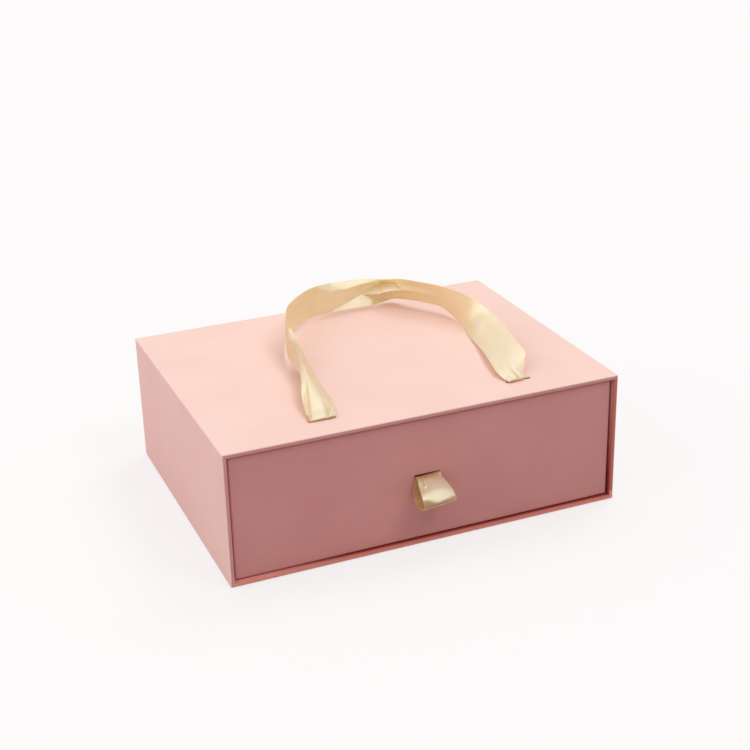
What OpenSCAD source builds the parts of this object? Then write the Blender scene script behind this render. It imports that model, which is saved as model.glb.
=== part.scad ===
// Drawer-style gift box: a paper-wrapped greyboard sleeve with a ribbon handle on top, and a tray
// that slides out of the open front by a ribbon pull loop.
// Frame: X to the right, Y to the back, Z up. The origin is the centre of the underside.

/* [Sleeve] */
// Outer width of the sleeve
box_w = 240; // [200:1:300]
// Outer depth of the sleeve, from the open front to the closed back
box_d = 181; // [165:1:240]
// Outer height of the sleeve
box_h = 81; // [75:1:120]
// Greyboard thickness of every panel
board_t = 2; // [1.5:0.1:3]
// Thickness of the printed wrap and lining papers
paper_t = 0.2; // [0.15:0.05:0.3]
// Softness of the paper-covered edges
edge_r = 1; // [0.8:0.1:1.4]
// Width of the paper flaps that are folded in, under or behind
flap_w = 15; // [8:1:20]
// How far the base and back papers stay inside the panel edges
sheet_inset = 2.5; // [1.5:0.5:5]

/* [Drawer] */
// Clearance between drawer and sleeve on each side
side_gap = 1.2; // [0.6:0.1:2]
// Running clearance under the drawer
floor_gap = 0.4; // [0.3:0.05:0.8]
// Clearance above the drawer's rim
top_gap = 1.6; // [1.3:0.1:3]
// Clearance behind the closed drawer
back_gap = 0.5; // [0.3:0.1:2]
// How far the closed drawer's front stands back from the sleeve's rim
front_recess = 2.5; // [1:0.1:5]
// Thickness of the gummed tape round the tray's corners
tape_t = 0.1; // [0.08:0.01:0.15]
// Width of that tape on each wall
tape_w = 18; // [10:1:25]

/* [Ribbon] */
// Width of the satin ribbon
ribbon_w = 20; // [18:0.5:22]
// Thickness of the satin ribbon
ribbon_t = 0.4; // [0.3:0.05:0.5]
// Length of the three ribbon slits; the ribbon is gathered in them
slit_l = 16; // [15:0.5:18]
// Clear height of a slit
slit_g = 1.6; // [1.4:0.1:2.2]
// Length of the ribbon ends that are glued down inside
tail_l = 28; // [20:1:40]
// Size of the paper patch past the glued ribbon end, on each side
patch_lap = 6; // [4:1:10]

/* [Handle] */
// Distance of the handle slits behind the sleeve's front edge
handle_in = 19; // [15:1:30]
// Middle of the left handle slit, left of the sleeve's centre
handle_left = 56.5; // [50:0.5:70]
// Middle of the right handle slit, right of the sleeve's centre
handle_right = 64.5; // [55:0.5:75]

/* [Pull loop] */
// Height of the pull slit above the underside
pull_z = 42.5; // [35:1:50]
// Middle of the pull slit, left of the drawer's centre
pull_left = 1; // [0:0.5:10]

/* [Hidden] */

WRAP = "lightpink";
BOARD = "darkgray";
LINING = "mistyrose";
SATIN = "cornsilk";
KRAFT = "tan";

arc_fn = 48;
cut = 1;                  // how far a cutting block runs past the face that it cuts
slack = 0.3;              // room between ribbon pieces on different bodies, and in a slit

// Sleeve: outer faces of the boards, lying inside the wrap paper
core_x = box_w / 2 - paper_t;
core_front = -box_d / 2 + paper_t;
core_back = box_d / 2 - 2 * paper_t;
core_low = 2 * paper_t;
core_top = box_h - paper_t;
core_r = edge_r - paper_t;
// Sleeve: inner faces of the lining
room_x = core_x - board_t - paper_t;
room_low = core_low + board_t + paper_t;
room_top = core_top - board_t - paper_t;
room_back = core_back - board_t - paper_t;

// Drawer: outer faces of its wrap paper
tray_x = room_x - side_gap;
tray_front = -box_d / 2 + front_recess;
tray_back = room_back - back_gap;
tray_low = room_low + floor_gap;
tray_top = room_top - top_gap;
// Drawer: outer faces of its boards, with the corner tape under the wrap
skin_t = paper_t + tape_t;
wall_x = tray_x - skin_t;
wall_front = tray_front + skin_t;
wall_back = tray_back - skin_t;
wall_low = tray_low + 2 * paper_t;
wall_top = tray_top - paper_t;
wall_r = edge_r - skin_t;
// Drawer: faces of its lining
inside_x = wall_x - board_t - paper_t;
inside_front = wall_front + board_t + paper_t;
inside_back = wall_back - board_t - paper_t;
inside_low = wall_low + board_t + paper_t;

// Ribbon
tail_gather = slit_l - 2 * slack;       // width of the gathered ribbon in a slit
handle_y = -box_d / 2 + handle_in;
hinge_up = 0.8;                         // height of the handle's hinge line above the panel
pull_out = 1;                           // distance of the pull's hinge line before the drawer
pull_x = -pull_left;

// Free ribbon: grid cells per station and across the width, and the sizes at which the two
// routes below were drawn
ribbon_steps = 2;
ribbon_cols = 4;
drawn_w = 20;
drawn_left = 56.5;
drawn_right = 64.5;
right_gather = 10.6;      // the right foot is gathered more and lies to the left in its slit
right_aside = 2.2;
pull_leg = 0.35;          // half the distance between the loop's two legs at the hinge line

// Handle, from the left slit round to the right slit. Each station has three points of the
// ribbon: the edge that is the lower one along the back, the middle, and the upper edge. A point
// is [x from the sleeve's centre, y behind the slits, z above the panel].
handle_route = [
    [[-63.5, 5.5, 1.8], [-55.5, 5.5, 3.2], [-46.8, 5, 1.6]],
    [[-62.5, 11, 3.2], [-54, 11.5, 5.2], [-45.5, 11.5, 2.2]],
    [[-61, 18.5, 5.5], [-52.8, 19.5, 7.5], [-44, 21.5, 2.4]],
    [[-58.5, 26, 8.2], [-52.3, 27.5, 10], [-43, 32.5, 2.4]],
    [[-55.5, 34.5, 9.6], [-51, 38, 12.4], [-42, 43.5, 2.8]],
    [[-53, 43, 9.4], [-49.5, 47.5, 13], [-41.2, 52.5, 3.8]],
    [[-51.5, 52.5, 8], [-48, 56, 14], [-40.8, 60.5, 5.6]],
    [[-50, 63.5, 6.4], [-46.6, 65, 15.2], [-40.6, 67.5, 8]],
    [[-48, 74.5, 5], [-45.5, 74.5, 15.8], [-41, 76, 12.4]],
    [[-46, 83.5, 3.6], [-44.9, 83.5, 15], [-42, 84.3, 18]],
    [[-43.3, 93.5, 3], [-43.6, 93, 13.6], [-43, 92.7, 22.2]],
    [[-39.5, 103.5, 3.6], [-40.2, 102.5, 13.6], [-40.4, 101, 23.5]],
    [[-33.5, 114, 5], [-34, 113.5, 15], [-33.5, 113, 25]],
    [[-19, 130.5, 4], [-18.5, 130.8, 14], [-17.5, 131, 24]],
    [[-8, 141, 2], [-7.5, 141.5, 12], [-6, 142, 22]],
    [[4, 146.5, 0.6], [4.5, 147, 10.6], [5, 147.8, 20.5]],
    [[14, 147.7, 0.5], [13.7, 147.8, 10.5], [13.5, 147.8, 20.5]],
    [[24.5, 147.4, 0.5], [24.5, 147.2, 10.5], [24.5, 147, 20.5]],
    [[33.5, 147.2, 0.5], [33.5, 146.5, 10.5], [33, 145, 20.4]],
    [[40, 148.2, 0.6], [39.5, 146.5, 10], [38.3, 143, 19.8]],
    [[46, 148.7, 1.6], [43.8, 145.5, 10.8], [41.8, 141, 20]],
    [[51, 146.5, 3], [47.5, 142.8, 12], [44.3, 138, 20.6]],
    [[55.9, 139.2, 4], [51.5, 137, 13], [47.3, 134, 21.4]],
    [[60, 132.8, 4.5], [56, 130.6, 13.5], [51.8, 128, 22]],
    [[67.5, 122, 4.5], [64, 119.6, 13.3], [60.3, 116.8, 22]],
    [[70.8, 116.5, 4], [67.7, 114.4, 13.2], [64.2, 111.8, 21.8]],
    [[73, 107.5, 2], [71.2, 106.3, 11.8], [69, 104.5, 21.3]],
    [[73, 95.5, 1], [73.2, 95.5, 11], [73, 95, 21]],
    [[71.5, 84.5, 0.8], [74.3, 84, 10.5], [77, 83, 19.8]],
    [[69.1, 76, 1], [74.4, 75.3, 9.6], [79.3, 74, 18.2]],
    [[66.5, 65.5, 2], [73.6, 64.5, 9.4], [81, 63, 16.2]],
    [[64.5, 54.5, 3], [73, 53.5, 8.8], [81.7, 51.5, 13.8]],
    [[60.5, 35.5, 4.6], [69.7, 34.5, 9], [79, 32.5, 12.3]],
    [[58.4, 26.5, 4.6], [67.6, 25.5, 9], [77, 23, 11.6]],
    [[56.4, 17, 4.2], [66, 16.5, 8], [75.6, 15, 9]],
    [[55.2, 9.5, 3.2], [65, 9.5, 6], [73.2, 8.5, 5.4]],
    [[55.8, 4, 2], [63, 4, 3.8], [69.8, 3.5, 2.8]]];

// Pull, from the upper leg at the slit round the fold to the lower leg. A point is
// [x from the slit's middle, distance before the drawer's front, drop below the slit].
pull_route = [
    [[-7.8, 4, 1.2], [0, 4, 0], [7.8, 3.6, 1]],
    [[-8.8, 8.6, 3.6], [0.2, 9, 1.4], [8.8, 8.6, 2.4]],
    [[-9.6, 13.4, 5.6], [0, 13.8, 3.2], [9.5, 13.2, 4]],
    [[-10, 16.3, 7.8], [0, 16.6, 6], [10, 15.4, 6.4]],
    [[-10, 16.8, 11.4], [0, 17.4, 9.6], [10, 17, 8.8]],
    [[-10, 16.1, 13.2], [0, 17, 11.6], [10, 17.6, 10]],
    [[-10, 15.2, 13.8], [0, 16, 12.3], [10, 16.8, 10.6]],
    [[-9.9, 11, 15.2], [0, 11.6, 13.8], [10, 12.4, 12.4]],
    [[-9.8, 6.4, 14.8], [0, 7, 13.6], [10, 7.8, 12.6]],
    [[-9.8, 2.6, 12.4], [0, 3.2, 11.8], [9.8, 3.8, 11]],
    [[-9.6, 1.3, 8.4], [0, 1.6, 8], [9.4, 1.9, 7.6]],
    [[-8.8, 1.2, 4], [0, 1.3, 4], [8.6, 1.4, 4]]];

// ---------------------------------------------------------------- shapes

// Rectangle with round corners, from one corner to the other
module soft_rect(a, b, r) {
    translate([a[0] + r, a[1]]) square([b[0] - a[0] - 2 * r, b[1] - a[1]]);
    translate([a[0], a[1] + r]) square([b[0] - a[0], b[1] - a[1] - 2 * r]);
    for (x = [a[0] + r, b[0] - r], y = [a[1] + r, b[1] - r])
        translate([x, y]) circle(r = r, $fn = arc_fn);
}

// Block between two corners with soft edges all round
module soft_block(a, b, r) {
    intersection() {
        translate([0, 0, a[2]])
            linear_extrude(b[2] - a[2]) soft_rect([a[0], a[1]], [b[0], b[1]], r);
        translate([0, b[1], 0]) rotate([90, 0, 0])
            linear_extrude(b[1] - a[1]) soft_rect([a[0], a[2]], [b[0], b[2]], r);
        translate([a[0], 0, 0]) rotate([90, 0, 90])
            linear_extrude(b[0] - a[0]) soft_rect([a[1], a[2]], [b[1], b[2]], r);
    }
}

// Plain block between two corners
module block(a, b) {
    translate(a) cube(b - a);
}

// Outer form of the sleeve's boards
module sleeve_core() {
    soft_block([-core_x, core_front, core_low], [core_x, core_back, core_top], core_r);
}

// Outer form of the tray's boards
module tray_core() {
    soft_block([-wall_x, wall_front, wall_low], [wall_x, wall_back, wall_top], wall_r);
}

// A slit along X for the ribbon, cut through whatever lies between two points of its axis
module slit_through(a, b) {
    along = b - a;
    reach = abs(along[1]) > abs(along[2]) ? [slit_l, 0, slit_g] : [slit_l, slit_g, 0];
    low = [for (i = [0:2]) min(a[i], b[i]) - reach[i] / 2];
    high = [for (i = [0:2]) max(a[i], b[i]) + reach[i] / 2];
    block(low, high);
}

// The two handle slits, down through the top panel
module handle_slits() {
    for (x = [-handle_left, handle_right])
        slit_through([x, handle_y, room_top - cut], [x, handle_y, box_h + cut]);
}

// The pull slit, through the tray's front wall
module pull_slit() {
    slit_through([pull_x, tray_front - cut, pull_z], [pull_x, inside_front + cut, pull_z]);
}

// ---------------------------------------------------------------- sleeve

module sleeve_top_board() {
    color(BOARD) difference() {
        intersection() {
            sleeve_core();
            block([-box_w, -box_d, core_top - board_t], [box_w, box_d, box_h]);
        }
        handle_slits();
    }
}

module sleeve_bottom_board() {
    color(BOARD) intersection() {
        sleeve_core();
        block([-box_w, -box_d, 0], [box_w, box_d, core_low + board_t]);
    }
}

// A side board between the top and bottom boards, on the side of the given sign
module sleeve_side_board(side) {
    color(BOARD) intersection() {
        sleeve_core();
        mirror([side < 0 ? 1 : 0, 0, 0])
            block([core_x - board_t, -box_d, core_low + board_t], [box_w, box_d, core_top - board_t]);
    }
}

module sleeve_left_board() { sleeve_side_board(-1); }

module sleeve_right_board() { sleeve_side_board(1); }

module sleeve_back_board() {
    color(BOARD) intersection() {
        sleeve_core();
        block([board_t - core_x, core_back - board_t, core_low + board_t],
              [core_x - board_t, box_d, core_top - board_t]);
    }
}

// Room inside the sleeve's papers, from one depth to another
module sleeve_room(front, back) {
    block([-room_x, front, room_low], [room_x, back, room_top]);
}

// One sheet round all four sides, folded in round the front rim and folded behind the back
module sleeve_wrap_paper() {
    flap_in = -box_d / 2 + flap_w;
    color(WRAP) difference() {
        union() {
            difference() {
                soft_block([-box_w / 2, -box_d / 2, paper_t],
                           [box_w / 2, box_d / 2 - paper_t, box_h], edge_r);
                sleeve_core();
            }
            block([board_t - core_x, core_front, core_low + board_t],
                  [core_x - board_t, flap_in, core_top - board_t]);
        }
        sleeve_room(-box_d, flap_in + cut);
        block([flap_w - box_w / 2, core_back, flap_w], [box_w / 2 - flap_w, box_d, box_h - flap_w]);
        handle_slits();
    }
}

// Finishing sheet under the base, over the seam of the wrap
module sleeve_base_paper() {
    edge = box_w / 2 - sheet_inset;
    color(WRAP) block([-edge, -box_d / 2 + sheet_inset, 0],
                      [edge, box_d / 2 - paper_t - sheet_inset, paper_t]);
}

// Finishing sheet behind the back, over the flaps of the wrap
module sleeve_back_paper() {
    edge = box_w / 2 - sheet_inset;
    color(WRAP) block([-edge, box_d / 2 - paper_t, paper_t + sheet_inset],
                      [edge, box_d / 2, box_h - sheet_inset]);
}

// Lining of the four walls and the back, from the wrap's folded-in flap inwards
module sleeve_liner() {
    flap_in = -box_d / 2 + flap_w;
    color(LINING) difference() {
        block([board_t - core_x, flap_in, core_low + board_t],
              [core_x - board_t, core_back - board_t, core_top - board_t]);
        sleeve_room(flap_in - cut, room_back);
        handle_slits();
    }
}

// ---------------------------------------------------------------- glued ribbon ends

// Paper patch stuck over a flat ribbon end of width w, length l and thickness t. The wall lies at
// z = 0 under it, and the ribbon end runs along +Y from the slit.
module ribbon_patch(w, l, t) {
    lap = patch_lap;
    color(LINING) difference() {
        union() {
            block([-w / 2 - lap, -slit_g - lap, 0], [w / 2 + lap, l + lap, paper_t]);
            block([-w / 2 - paper_t, -slit_g - paper_t, 0], [w / 2 + paper_t, l + paper_t, t + paper_t]);
        }
        block([-w / 2, -slit_g, -cut], [w / 2, l, t]);
    }
}

// Ribbon end that comes down through the top panel and is glued flat under it
module handle_tail(x, gather = tail_gather, aside = 0) {
    half_t = slit_g / 2 - slack;
    color(SATIN) translate([x, handle_y, 0]) {
        block([-aside - gather / 2, -half_t, room_top - ribbon_t],
              [gather / 2 - aside, half_t, box_h + slack]);
        block([-ribbon_w / 2, -half_t, room_top - ribbon_t], [ribbon_w / 2, tail_l, room_top]);
    }
}

module handle_left_tail() { handle_tail(-handle_left); }

module handle_right_tail() { handle_tail(handle_right, right_gather, right_aside); }

module handle_patch(x) {
    translate([x, handle_y, room_top]) rotate([0, 180, 0]) ribbon_patch(ribbon_w, tail_l, ribbon_t);
}

module handle_left_patch() { handle_patch(-handle_left); }

module handle_right_patch() { handle_patch(handle_right); }

// Both ends of the pull's ribbon, back through the front wall and glued down inside it
module pull_tail() {
    color(SATIN) translate([pull_x, 0, pull_z]) {
        block([-tail_gather / 2, tray_front, -ribbon_t],
              [tail_gather / 2, inside_front + 2 * ribbon_t, ribbon_t]);
        block([-ribbon_w / 2, inside_front, -tail_l],
              [ribbon_w / 2, inside_front + 2 * ribbon_t, ribbon_t]);
    }
}

module pull_patch() {
    translate([pull_x, inside_front, pull_z]) rotate([-90, 0, 0])
        ribbon_patch(ribbon_w, tail_l, 2 * ribbon_t);
}

// ---------------------------------------------------------------- drawer

module drawer_base_board() {
    color(BOARD) block([board_t - wall_x, wall_front + board_t, wall_low],
                       [wall_x - board_t, wall_back - board_t, wall_low + board_t]);
}

module drawer_front_board() {
    color(BOARD) difference() {
        intersection() {
            tray_core();
            block([-box_w, -box_d, 0], [box_w, wall_front + board_t, box_h]);
        }
        pull_slit();
    }
}

module drawer_back_board() {
    color(BOARD) intersection() {
        tray_core();
        block([-box_w, wall_back - board_t, 0], [box_w, box_d, box_h]);
    }
}

// A side board between the front and back boards, on the side of the given sign
module drawer_side_board(side) {
    color(BOARD) intersection() {
        tray_core();
        mirror([side < 0 ? 1 : 0, 0, 0])
            block([wall_x - board_t, wall_front + board_t, 0], [box_w, wall_back - board_t, box_h]);
    }
}

module drawer_left_board() { drawer_side_board(-1); }

module drawer_right_board() { drawer_side_board(1); }

// Space that the tray's boards and corner tapes fill inside the wrap
module tray_taped() {
    soft_block([-wall_x - tape_t, wall_front - tape_t, wall_low],
               [wall_x + tape_t, wall_back + tape_t, wall_top], edge_r - paper_t);
}

// Gummed tape round one upright corner of the tray, on the sides of the given signs
module drawer_tape(side, end) {
    y_front = end < 0 ? wall_front - cut : wall_back - tape_w;
    color(KRAFT) intersection() {
        difference() {
            tray_taped();
            tray_core();
        }
        mirror([side < 0 ? 1 : 0, 0, 0])
            block([wall_x - tape_w, y_front, wall_low + edge_r],
                  [wall_x + cut, y_front + tape_w + cut, wall_top - edge_r]);
    }
}

module drawer_tape_front_left() { drawer_tape(-1, -1); }

module drawer_tape_front_right() { drawer_tape(1, -1); }

module drawer_tape_back_left() { drawer_tape(-1, 1); }

module drawer_tape_back_right() { drawer_tape(1, 1); }

// One sheet round the four walls, folded in over the rim and folded under the base
module drawer_wrap_paper() {
    flap_low = tray_top - flap_w;
    color(WRAP) difference() {
        union() {
            difference() {
                soft_block([-tray_x, tray_front, tray_low + paper_t],
                           [tray_x, tray_back, tray_top], edge_r);
                tray_taped();
            }
            block([board_t - wall_x, wall_front + board_t, flap_low],
                  [wall_x - board_t, wall_back - board_t, wall_top]);
        }
        block([-inside_x, inside_front, flap_low - cut], [inside_x, inside_back, tray_top + cut]);
        block([flap_w - tray_x, tray_front + flap_w, 0], [tray_x - flap_w, tray_back - flap_w, wall_low]);
        pull_slit();
    }
}

// Finishing sheet under the tray, over the wrap's flaps
module drawer_base_paper() {
    edge = tray_x - sheet_inset;
    color(WRAP) block([-edge, tray_front + sheet_inset, tray_low],
                      [edge, tray_back - sheet_inset, tray_low + paper_t]);
}

// Lining of the tray's floor and of its walls up to the wrap's flap
module drawer_liner() {
    color(LINING) difference() {
        block([board_t - wall_x, wall_front + board_t, wall_low + board_t],
              [wall_x - board_t, wall_back - board_t, tray_top - flap_w]);
        block([-inside_x, inside_front, inside_low], [inside_x, inside_back, tray_top]);
        pull_slit();
    }
}

// ---------------------------------------------------------------- free ribbon

// Point at u = 0..1 across a station, which is [one edge, the middle, the other edge]
function across(st, u) =
    st[0] * (1 - u) * (1 - 2 * u) + st[1] * 4 * u * (1 - u) + st[2] * u * (2 * u - 1);

// Smooth curve through stations p1 and p2, with p0 before them and p3 after them
function between(p0, p1, p2, p3, t) =
    (2 * p1 + (p2 - p0) * t + (2 * p0 - 5 * p1 + 4 * p2 - p3) * t * t
     + (3 * p1 - p0 - 3 * p2 + p3) * t * t * t) / 2;

// Station at parameter s, which counts stations from 0
function along(route, s) =
    let (last = len(route) - 1, k = min(floor(s), last - 1))
    between(route[max(k - 1, 0)], route[k], route[k + 1], route[min(k + 2, last)], s - k);

function grid_of(route) =
    [for (i = [0:(len(route) - 1) * ribbon_steps])
        let (st = along(route, i / ribbon_steps))
        [for (j = [0:ribbon_cols]) across(st, j / ribbon_cols)]];

// Unit normal of the ribbon's face at a point of its grid
function face_normal(g, i, j) =
    let (last = len(g) - 1,
         lengthwise = g[min(i + 1, last)][j] - g[max(i - 1, 0)][j],
         crosswise = g[i][min(j + 1, ribbon_cols)] - g[i][max(j - 1, 0)],
         n = cross(lengthwise, crosswise))
    n / norm(n);

// Ribbon of thickness ribbon_t whose middle surface runs through a route of stations
module free_ribbon(route) {
    g = grid_of(route);
    rows = len(g);
    cols = ribbon_cols + 1;
    layer = rows * cols;
    points = [for (side = [1, -1], i = [0:rows - 1], j = [0:cols - 1])
        g[i][j] + face_normal(g, i, j) * side * ribbon_t / 2];
    function id(side, i, j) = side * layer + i * cols + j;
    function quad(a, b, c, d) = [[a, b, c], [a, c, d]];
    upper = [for (i = [0:rows - 2], j = [0:cols - 2])
        each quad(id(0, i, j), id(0, i, j + 1), id(0, i + 1, j + 1), id(0, i + 1, j))];
    lower = [for (i = [0:rows - 2], j = [0:cols - 2])
        each quad(id(1, i, j), id(1, i + 1, j), id(1, i + 1, j + 1), id(1, i, j + 1))];
    near = [for (i = [0:rows - 2])
        each quad(id(0, i, 0), id(0, i + 1, 0), id(1, i + 1, 0), id(1, i, 0))];
    far = [for (i = [0:rows - 2])
        each quad(id(0, i, cols - 1), id(1, i, cols - 1), id(1, i + 1, cols - 1), id(0, i + 1, cols - 1))];
    start = [for (j = [0:cols - 2])
        each quad(id(0, 0, j), id(1, 0, j), id(1, 0, j + 1), id(0, 0, j + 1))];
    end = [for (j = [0:cols - 2])
        each quad(id(0, rows - 1, j), id(0, rows - 1, j + 1), id(1, rows - 1, j + 1), id(1, rows - 1, j))];
    polyhedron(points, concat(upper, lower, near, far, start, end), convexity = 10);
}

// The loop lies back over the top panel. It stands on its edge along the back and round the left
// bend, leans inwards behind the right bend and lies face up along the right.
module handle_ribbon() {
    // a station keeps its place from the slits: x follows them in proportion, y and z are measured
    // from the slit line and the panel
    function follow(p) =
        let (w = (p[0] + drawn_left) / (drawn_left + drawn_right),
             x = p[0] + (drawn_left - handle_left) * (1 - w) + (handle_right - drawn_right) * w)
        [x, handle_y + p[1], box_h + p[2]];
    function widened(st) = [for (p = st) follow(st[0] + (p - st[0]) * ribbon_w / drawn_w)];
    function foot(x, w) = [for (u = [-1, 0, 1]) [x + u * w / 2, handle_y, box_h + hinge_up]];
    color(SATIN) free_ribbon(concat([foot(-handle_left, tail_gather)],
        [for (st = handle_route) widened(st)], [foot(handle_right - right_aside, right_gather)]));
}

// The loop stands out from the slit, droops a little and folds back under itself
module pull_ribbon() {
    function place(p) = [pull_x + p[0], tray_front - p[1], pull_z - p[2]];
    function widened(st) = [for (p = st) place(st[1] + (p - st[1]) * ribbon_w / drawn_w)];
    function foot(drop) = [for (u = [-1, 0, 1]) place([u * tail_gather / 2, pull_out, drop])];
    color(SATIN) free_ribbon(concat(
        [foot(-pull_leg)], [for (st = pull_route) widened(st)], [foot(pull_leg)]));
}

sleeve_top_board();
sleeve_bottom_board();
sleeve_left_board();
sleeve_right_board();
sleeve_back_board();
sleeve_wrap_paper();
sleeve_base_paper();
sleeve_back_paper();
sleeve_liner();
handle_left_tail();
handle_right_tail();
handle_left_patch();
handle_right_patch();
handle_ribbon();
drawer_base_board();
drawer_front_board();
drawer_back_board();
drawer_left_board();
drawer_right_board();
drawer_tape_front_left();
drawer_tape_front_right();
drawer_tape_back_left();
drawer_tape_back_right();
drawer_wrap_paper();
drawer_base_paper();
drawer_liner();
pull_tail();
pull_patch();
pull_ribbon();
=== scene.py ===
import math

import bpy
import numpy as np
from mathutils import Matrix, Vector
from mathutils.geometry import delaunay_2d_cdt


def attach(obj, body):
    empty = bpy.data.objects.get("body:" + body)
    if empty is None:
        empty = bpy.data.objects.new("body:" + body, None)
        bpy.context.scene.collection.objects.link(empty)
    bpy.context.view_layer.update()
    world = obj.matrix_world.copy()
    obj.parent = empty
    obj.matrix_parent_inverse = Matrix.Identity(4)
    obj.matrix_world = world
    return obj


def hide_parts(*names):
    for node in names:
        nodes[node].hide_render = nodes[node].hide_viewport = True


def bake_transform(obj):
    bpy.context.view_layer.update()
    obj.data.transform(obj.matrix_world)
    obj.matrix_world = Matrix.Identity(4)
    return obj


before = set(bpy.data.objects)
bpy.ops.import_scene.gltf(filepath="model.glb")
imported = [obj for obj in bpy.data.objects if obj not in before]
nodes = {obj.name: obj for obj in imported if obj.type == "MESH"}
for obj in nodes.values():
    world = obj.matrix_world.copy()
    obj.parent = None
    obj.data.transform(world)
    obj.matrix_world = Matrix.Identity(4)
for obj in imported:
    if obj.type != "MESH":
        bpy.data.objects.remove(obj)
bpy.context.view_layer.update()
MM = 0.001                       # sizes are written in mm where they are times this

BOX_W, BOX_D, BOX_H = 240.0, 181.0, 81.0
FRONT_Y = -88.0                  # the drawer's front face
HANDLE_Y = -71.5                 # the line of the handle's two slits
PULL_X, PULL_Z = -1.0, 42.5      # the middle of the pull's slit

# ------------------------------------------------------------------ camera

# The photo's camera, solved from the sleeve's corners: degrees, mm and pixels.
CAM_AZ, CAM_EL, CAM_ROLL = -22.329, 23.589, -1.4675
CAM_TARGET = (4.842, 0, 67.418)
CAM_DISTANCE = 884.67
CAM_FOCAL, CAM_IMAGE = 1456.36, 750


def make_camera():
    """Looks at the target from its azimuth and elevation, turned about its own line of sight."""
    az, el, roll = (math.radians(a) for a in (CAM_AZ, CAM_EL, CAM_ROLL))
    target = Vector(CAM_TARGET) * MM
    back = Vector((math.sin(az) * math.cos(el), -math.cos(az) * math.cos(el), math.sin(el)))
    right = (-back).cross(Vector((0, 0, 1))).normalized()
    up = right.cross(-back)
    across = right * math.cos(roll) + up * math.sin(roll)
    upright = up * math.cos(roll) - right * math.sin(roll)
    data = bpy.data.cameras.new("camera")
    data.sensor_width = 36
    data.lens = CAM_FOCAL / CAM_IMAGE * data.sensor_width
    data.clip_start, data.clip_end = 0.05, 30
    camera = bpy.data.objects.new("camera", data)
    turn = Matrix((across, upright, back)).transposed().to_4x4()
    stand = target + back * CAM_DISTANCE * MM
    camera.matrix_world = Matrix.Translation(stand) @ turn
    bpy.context.scene.collection.objects.link(camera)
    bpy.context.scene.camera = camera


# ------------------------------------------------------------------ node helpers


class Shade:
    """A material's node tree, with short ways to add and join nodes."""

    def __init__(self, name):
        self.mat = bpy.data.materials.new(name)
        self.mat.use_nodes = True
        self.tree = self.mat.node_tree
        self.tree.nodes.clear()
        self.out = self.add("ShaderNodeOutputMaterial")
        self.bsdf = self.add("ShaderNodeBsdfPrincipled")
        self.join(self.bsdf.outputs[0], self.out.inputs["Surface"])

    def add(self, kind, **props):
        """A new node with its properties set."""
        node = self.tree.nodes.new(kind)
        for key, value in props.items():
            setattr(node, key, value)
        return node

    def join(self, a, b):
        self.tree.links.new(a, b)

    def put(self, socket, value):
        """Joins another node's socket to this one, or sets its value."""
        if isinstance(value, bpy.types.NodeSocket):
            self.join(value, socket)
        else:
            socket.default_value = value

    def math(self, op, a, b=0.0, c=0.0, clamp=False):
        node = self.add("ShaderNodeMath", operation=op, use_clamp=clamp)
        for socket, value in zip(node.inputs, (a, b, c)):
            self.put(socket, value)
        return node.outputs[0]

    def where(self, scale=(1, 1, 1)):
        """The place on the piece at rest, in metres, times the scale."""
        coords = self.add("ShaderNodeTexCoord").outputs["Object"]
        mapping = self.add("ShaderNodeMapping")
        mapping.inputs["Scale"].default_value = scale
        self.join(coords, mapping.inputs["Vector"])
        return mapping.outputs[0]

    def xyz(self):
        """The three parts of the place, one socket each."""
        node = self.add("ShaderNodeSeparateXYZ")
        self.join(self.where(), node.inputs[0])
        return node.outputs[0], node.outputs[1], node.outputs[2]

    def attribute(self, name):
        return self.add("ShaderNodeAttribute", attribute_name=name).outputs["Fac"]

    def noise(self, vector, scale, detail, rough):
        node = self.add("ShaderNodeTexNoise")
        self.join(vector, node.inputs["Vector"])
        node.inputs["Scale"].default_value = scale
        node.inputs["Detail"].default_value = detail
        node.inputs["Roughness"].default_value = rough
        return node.outputs["Fac"]

    def ramp(self, fac, low, high):
        """A straight ramp between two (place, colour) stops."""
        node = self.add("ShaderNodeValToRGB")
        self.put(node.inputs["Fac"], fac)
        for stop, (at, colour) in zip(node.color_ramp.elements, (low, high)):
            stop.position, stop.color = at, (*colour, 1)
        return node.outputs["Color"]

    def span(self, value, low, high, to_low=0.0, to_high=1.0, kind="SMOOTHSTEP"):
        """to_low where the value is low, to_high where it is high, smooth between."""
        node = self.add("ShaderNodeMapRange", interpolation_type=kind)
        for socket, v in zip(node.inputs, (value, low, high, to_low, to_high)):
            self.put(socket, v)
        return node.outputs[0]

    def mix(self, fac, a, b):
        """Colour a where fac is 0, and b where it is 1."""
        node = self.add("ShaderNodeMix", data_type="RGBA")
        first, second, result = node.inputs[6], node.inputs[7], node.outputs[2]
        self.put(node.inputs[0], fac)
        for socket, value in ((first, a), (second, b)):
            self.put(socket, value if isinstance(value, bpy.types.NodeSocket) else (*value, 1))
        return result

    def both(self, share, first, second):
        """The surface as a mix of two shaders, with this share of the second."""
        node = self.add("ShaderNodeMixShader")
        self.put(node.inputs[0], share)
        self.join(first.outputs[0], node.inputs[1])
        self.join(second.outputs[0], node.inputs[2])
        self.join(node.outputs[0], self.out.inputs["Surface"])

    def bump(self, height, distance):
        node = self.add("ShaderNodeBump")
        node.inputs["Distance"].default_value = distance
        self.join(height, node.inputs["Height"])
        return node.outputs[0]


def shade(c):
    """sRGB 0..255 to linear; none of the values is small enough for its straight part."""
    return tuple(((v / 255 + 0.055) / 1.055) ** 2.4 for v in c)


# ------------------------------------------------------------------ materials

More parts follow.
